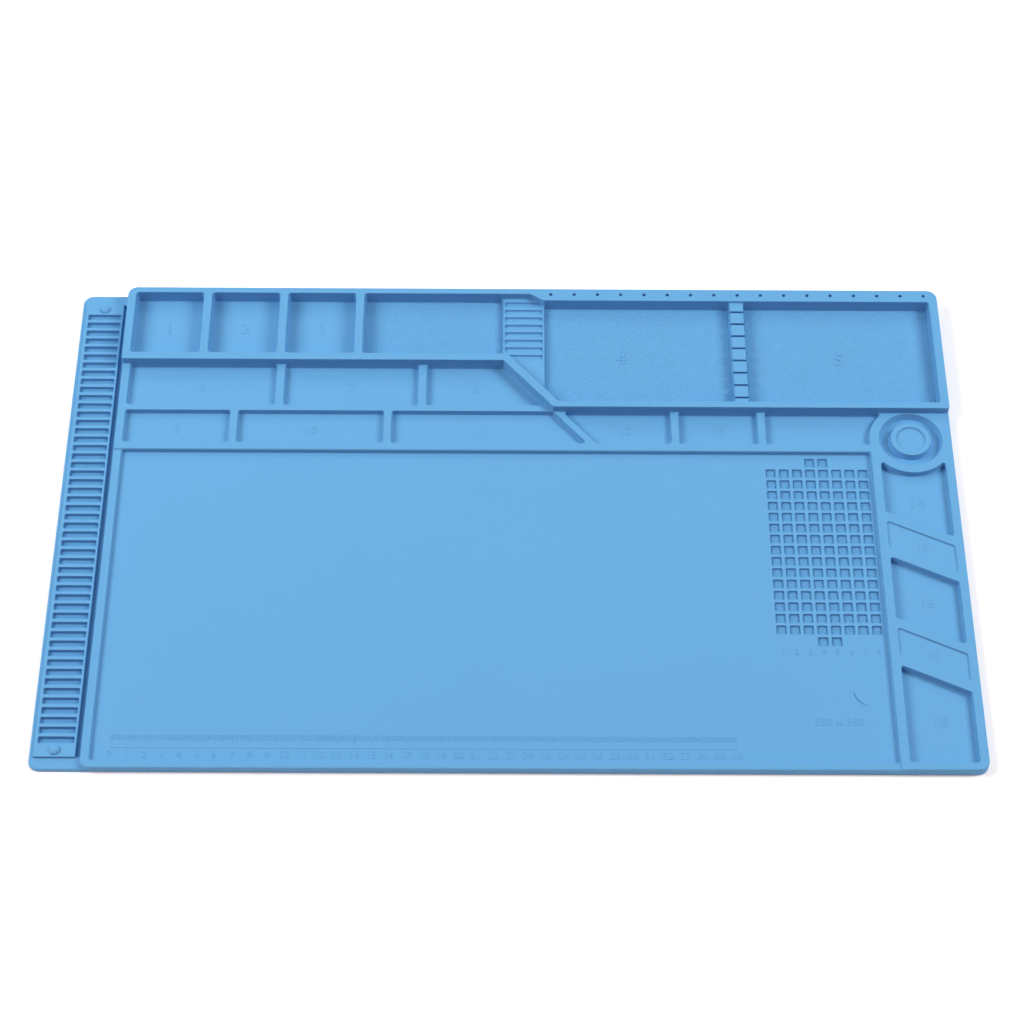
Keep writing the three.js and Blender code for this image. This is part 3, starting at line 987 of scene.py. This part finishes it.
# Node tree that carves a slab's top into bumps, and turns the slab by an eighth of a turn
def grain_tree():
    base, sizes = new_tree("diamond grain", {
        "Middle": "NodeSocketVector",
        "Size": "NodeSocketVector",
        "Count": "NodeSocketInt",
        "Pitch": "NodeSocketFloat",
        "Relief": "NodeSocketFloat",
        "Silicone": "NodeSocketMaterial",
    })
    slab = base.node("GeometryNodeMeshCube", {}, {
        "Size": sizes["Size"],
        "Vertices X": sizes["Count"],
        "Vertices Y": sizes["Count"],
        "Vertices Z": 2,
    }, "Mesh")
    spot = base.node("GeometryNodeInputPosition")
    half = sizes["Size"].part("X") / 2
    along = base.maths("COSINE", (spot.part("X") + half) / sizes["Pitch"] * math.pi)
    across = base.maths("COSINE", (spot.part("Y") + half) / sizes["Pitch"] * math.pi)
    wave = (along + across) / 2
    top = base.maths("GREATER_THAN", spot.part("Z"), 0.0)
    rise = base.node("ShaderNodeCombineXYZ", {}, {"Z": (wave - 1) / 2 * sizes["Relief"] * top})
    carved = base.node("GeometryNodeSetPosition", {}, {"Geometry": slab, "Offset": rise})
    placed = base.node("GeometryNodeTransform", {}, {
        "Geometry": carved,
        "Translation": sizes["Middle"],
        "Rotation": (0, 0, math.pi / 4),
    })
    return end_tree(base, placed, sizes["Silicone"])


diamond_grain = grain_tree()


def spans(corners):
    return [place.x for place, radius in corners], [place.y for place, radius in corners]


# The turned slab is large enough to cover the outline, and is then trimmed to it
def grain(corners, floor=sheet, pitch=grain_pitch, rise=grain_relief, margin=grain_margin):
    xs, ys = spans(corners)
    count = math.ceil((max(xs) - min(xs) + max(ys) - min(ys)) / math.sqrt(2) / pitch)
    side = count * pitch * mm
    middle_height = (floor + rise - grain_sink) * mm
    slab = grow("grain", diamond_grain, {
        "Middle": ((min(xs) + max(xs)) / 2 * mm, (min(ys) + max(ys)) / 2 * mm, middle_height),
        "Size": (side, side, 2 * grain_sink * mm),
        "Count": count + 1,
        "Pitch": pitch * mm,
        "Relief": rise * mm,
        "Silicone": silicone,
    })
    combine(slab, "INTERSECT", [prism("grain room", corners, floor - grain_root, floor + overcut, margin)])
    return slab


def small_grain(sides, floor, pitch):
    return grain(rectangle(*sides), floor, pitch, small_grain_relief, small_grain_margin)


combine(mat, "UNION", [grain(corners) for corners in grained_outlines])
slot_grain = lay_slots("slot grain", small_grain(slot_sides, slot_floor, slot_grain_pitch))
cell_grain = lay_cells("cell grain", small_grain(cell_sides, cell_floor, cell_grain_pitch))
end_cell_grain = lay_end_cells("end cell grain", small_grain(cell_sides, cell_floor, cell_grain_pitch))
combine(mat, "UNION", [slot_grain, cell_grain, end_cell_grain])

# Ruler
# Along the front of the work area runs a ruler in very low relief: a tick for each millimetre,
# longer ones for each five and ten, a thin line below them, and plain centimetre numbers.

ruler_start = -229
ruler_back = -152
ruler_line = -160.2
ruler_numbers = -167
ruler_centimetres = 36
ruler_length = 10 * ruler_centimetres
line_width = 0.5
tick_width = 0.38
short_tick = 3.4
middle_tick = 4.3
long_tick = 5.4
number_height = 4.6
relief = 0.18
mark_root = 0.3
bevel_start = 0.4
bevel_share = 0.2
figure_share = 0.7
weld_distance = 0.001


def low_bar(name, width, length):
    place = rectangle(-width / 2, width / 2, -length, 0)
    return shaped(name, place, [
        (0, work_floor - mark_root),
        (0, work_floor + relief * bevel_start),
        (min(width, length) * bevel_share, work_floor + relief),
    ])


# Groups of ticks a millimetre apart, the first tick of all at the given place on the ruler
def ticks(name, length, first, group, groups, step):
    return lay_out(
        name, low_bar("tick", tick_width, length), (ruler_start + first, ruler_back, 0),
        group, (1, 0, 0), groups, (step, 0, 0),
    )


# A plain number in low relief, moulded with the floor that it stands on
def number(text, x, y, height, floor, rise=relief):
    curve = bpy.data.curves.new("number", "FONT")
    curve.body = text
    curve.size = height * mm / figure_share
    curve.align_x = "CENTER"
    curve.extrude = (rise + mark_root) / 2 * mm
    curve.resolution_u = 3
    letters = bpy.data.objects.new("number", curve)
    scene.collection.objects.link(letters)
    plain = plain_mesh(letters)
    bpy.data.objects.remove(letters)
    plain.transform(Matrix.Translation(Vector((x, y, floor + (rise - mark_root) / 2)) * mm))
    welded = bmesh.new()
    welded.from_mesh(plain)
    bmesh.ops.remove_doubles(welded, verts=welded.verts, dist=weld_distance * mm)
    welded.to_mesh(plain)
    welded.free()
    return silicone_solid("number", plain)


line_middle = (ruler_start + ruler_length / 2, ruler_line, 0)
combine(mat, "UNION", [
    ticks("short ticks", short_tick, 1, 4, 2 * ruler_centimetres, 5),
    ticks("middle ticks", middle_tick, 5, 1, ruler_centimetres, 10),
    ticks("long ticks", long_tick, 0, 1, ruler_centimetres + 1, 10),
    lay_out("ruler line", low_bar("line", ruler_length, line_width), line_middle),
])
marks = [
    number(str(i), ruler_start + 10 * i, ruler_numbers, number_height, work_floor)
    for i in range(ruler_centimetres + 1)
]

# Plain numbers in the trays and below the screw cells
# The trays are numbered in the same low relief as the ruler, from left to right in each row, and
# the columns of screw cells are numbered in front of them. The mat's size stands near its corner.

tray_relief = 0.2
small_figure = 8
small_figure_rise = 22
large_figure = 9
middle_figure = 7
lower_figure = 6
cell_figure = 4
cell_figure_gap = 4
first_foot_rise = 5
shallow_drop = 13
deep_drop = 25
last_drop = 30
size_figure = 5
size_place = (191, -144)
column_middle = (column_left + inner_right) / 2


# Place, height and floor of a number at the middle of a tray
def middle_number(corners, height, floor):
    xs, ys = spans(corners)
    return sum(xs) / len(xs), (min(ys) + max(ys) - height) / 2, height, floor


def column_number(top, drop, height, floor):
    return column_middle, slant(top, column_middle) - drop, height, floor


tray_numbers = [
    (inner_left + small_width / 2 + i * small_step, tray_front + small_figure_rise, small_figure, sheet)
    for i in range(small_count)
]
tray_numbers += [
    middle_number(corners, large_figure, sheet + grain_relief) for corners in grained_outlines[1:]
]
tray_numbers += [middle_number(corners, middle_figure, sheet) for corners in middle_outlines]
tray_numbers += [middle_number(corners, lower_figure, sheet) for corners in lower_outlines]
tray_numbers += [
    (column_middle, first_foot + first_foot_rise, middle_figure, deep_floor),
    column_number(second_top, shallow_drop, lower_figure, shallow_floor),
    column_number(third_top, deep_drop, middle_figure, deep_floor),
    column_number(fourth_top, shallow_drop, lower_figure, shallow_floor),
    column_number(fifth_top, last_drop, middle_figure, deep_floor),
]
marks += [
    number(str(i + 1), x, y, height, floor, tray_relief)
    for i, (x, y, height, floor) in enumerate(tray_numbers)
]
last_cell_x = grid_right - cell_size / 2
cell_number_y = grid_back - (cell_rows + 2) * cell_pitch_y - cell_figure_gap
for i in range(cell_columns):
    cell_x = last_cell_x - (cell_columns - 1 - i) * cell_pitch_x
    marks.append(number(str(i + 1), cell_x, cell_number_y, cell_figure, work_floor, tray_relief))
marks.append(number("550 x 350", *size_place, size_figure, work_floor, tray_relief))

# Small marks of use
# One short curved nick lies near the front right of the work area, and a few pin-sized pits are
# scattered over it.

nick_depth = 0.5
nick_path = [
    (200.9, -121.6, 0.08),
    (201.5, -124.6, 0.34),
    (203.4, -127.5, 0.36),
    (206.4, -130, 0.22),
    (209, -131.2, 0.06),
]
pit_depth = 0.35
pit_foot_share = 0.6
pit_sides = 10
pit_places = [
    (146.1, -57.8, 0.6),
    (-213, -130.2, 0.55),
    (-139.7, -56.4, 0.5),
    (62.3, -118.4, 0.4),
]


# Outline of the nick, from places along its middle and its half width at each
def nick_outline():
    spots = [Vector((x, y)) for x, y, half in nick_path]
    near_side = []
    far_side = []
    for i, (x, y, half) in enumerate(nick_path):
        run = (spots[min(i + 1, len(spots) - 1)] - spots[max(i - 1, 0)]).normalized()
        away = Vector((-run.y, run.x))
        near_side.append(spots[i] - away * half)
        far_side.append(spots[i] + away * half)
    return near_side + far_side[::-1]


def pit(x, y, radius):
    return loft("pit", [
        (circle(x, y, radius * pit_foot_share, pit_sides), work_floor - pit_depth),
        (circle(x, y, radius, pit_sides), work_floor + overcut),
    ])


nick = loft("nick", [(nick_outline(), work_floor - nick_depth), (nick_outline(), work_floor + overcut)])
combine(mat, "DIFFERENCE", [nick] + [pit(*place) for place in pit_places])

# Silicone
# One light blue matt silicone throughout. Its skin is very slightly uneven, with a fine matt
# grain from the mould, and the lowest floors, of channel, slots and cells, carry painted shade.

# Painted shade: floors below the top of the slot grain, inside the flange's edge, get darker blue
painted_shade_margin = 0.01
painted_shade_top = slot_floor + small_grain_relief + painted_shade_margin
painted_shade_share = 0.25

place = rubber.node("ShaderNodeTexCoord", output="Object")


def noise(scale, detail):
    inputs = {"Vector": place, "Scale": scale, "Detail": detail}
    return rubber.node("ShaderNodeTexNoise", {}, inputs, "Fac")


def within(axis, reach):
    distance = rubber.maths("ABSOLUTE", place.part(axis))
    return rubber.maths("LESS_THAN", distance, reach * mm)


cloud = noise(7.0, 3.0)
mottle = noise(120.0, 3.0)
skin = noise(1800.0, 2.0)
blue = mixed(rubber, 0.7 * cloud + 0.3 * mottle, (0.115, 0.355, 0.642, 1), (0.122, 0.371, 0.666, 1))
painted_shade_inside = within("X", half_length - bar_margin) * within("Y", half_width - bar_margin)
painted_shade_mask = rubber.maths("LESS_THAN", place.part("Z"), painted_shade_top * mm) * painted_shade_inside
# Painted shade: this darker blue is mixed into the lowest floors in place of the shade in these recesses
blue_with_painted_shade = mixed(rubber, painted_shade_share * painted_shade_mask, blue, (0.03, 0.16, 0.36, 1))
feed(blue_with_painted_shade, silicone_shader, "Base Color")
feed(0.56 + 0.08 * mottle, silicone_shader, "Roughness")
silicone_shader.inputs["IOR"].default_value = 1.41
silicone_shader.inputs["Specular IOR Level"].default_value = 0.28
skin_bump = rubber.node("ShaderNodeBump", {}, {"Strength": 0.25, "Distance": 0.00006, "Height": skin})
feed(skin_bump, silicone_shader, "Normal")

# One moulding
# Everything above is one shot of silicone from one mould, so it is one piece. Its rounds are
# smooth, and the edges of its flat faces stay crisp.

crease_angle = math.radians(38)
evening_weight = 60

combine(mat, "UNION", marks)
mat.data.materials.clear()
mat.data.materials.append(silicone)
flat_edges = {
    mat.data.loops[i].edge_index
    for face in mat.data.polygons if not face.use_smooth
    for i in face.loop_indices
}
mat.data.set_sharp_from_angle(angle=crease_angle)
for i in flat_edges:
    mat.data.edges[i].use_edge_sharp = True
evening = mat.modifiers.new("evening", "WEIGHTED_NORMAL")
evening.keep_sharp = True
evening.weight = evening_weight
settle(mat)

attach(mat, "root")
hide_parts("mat")
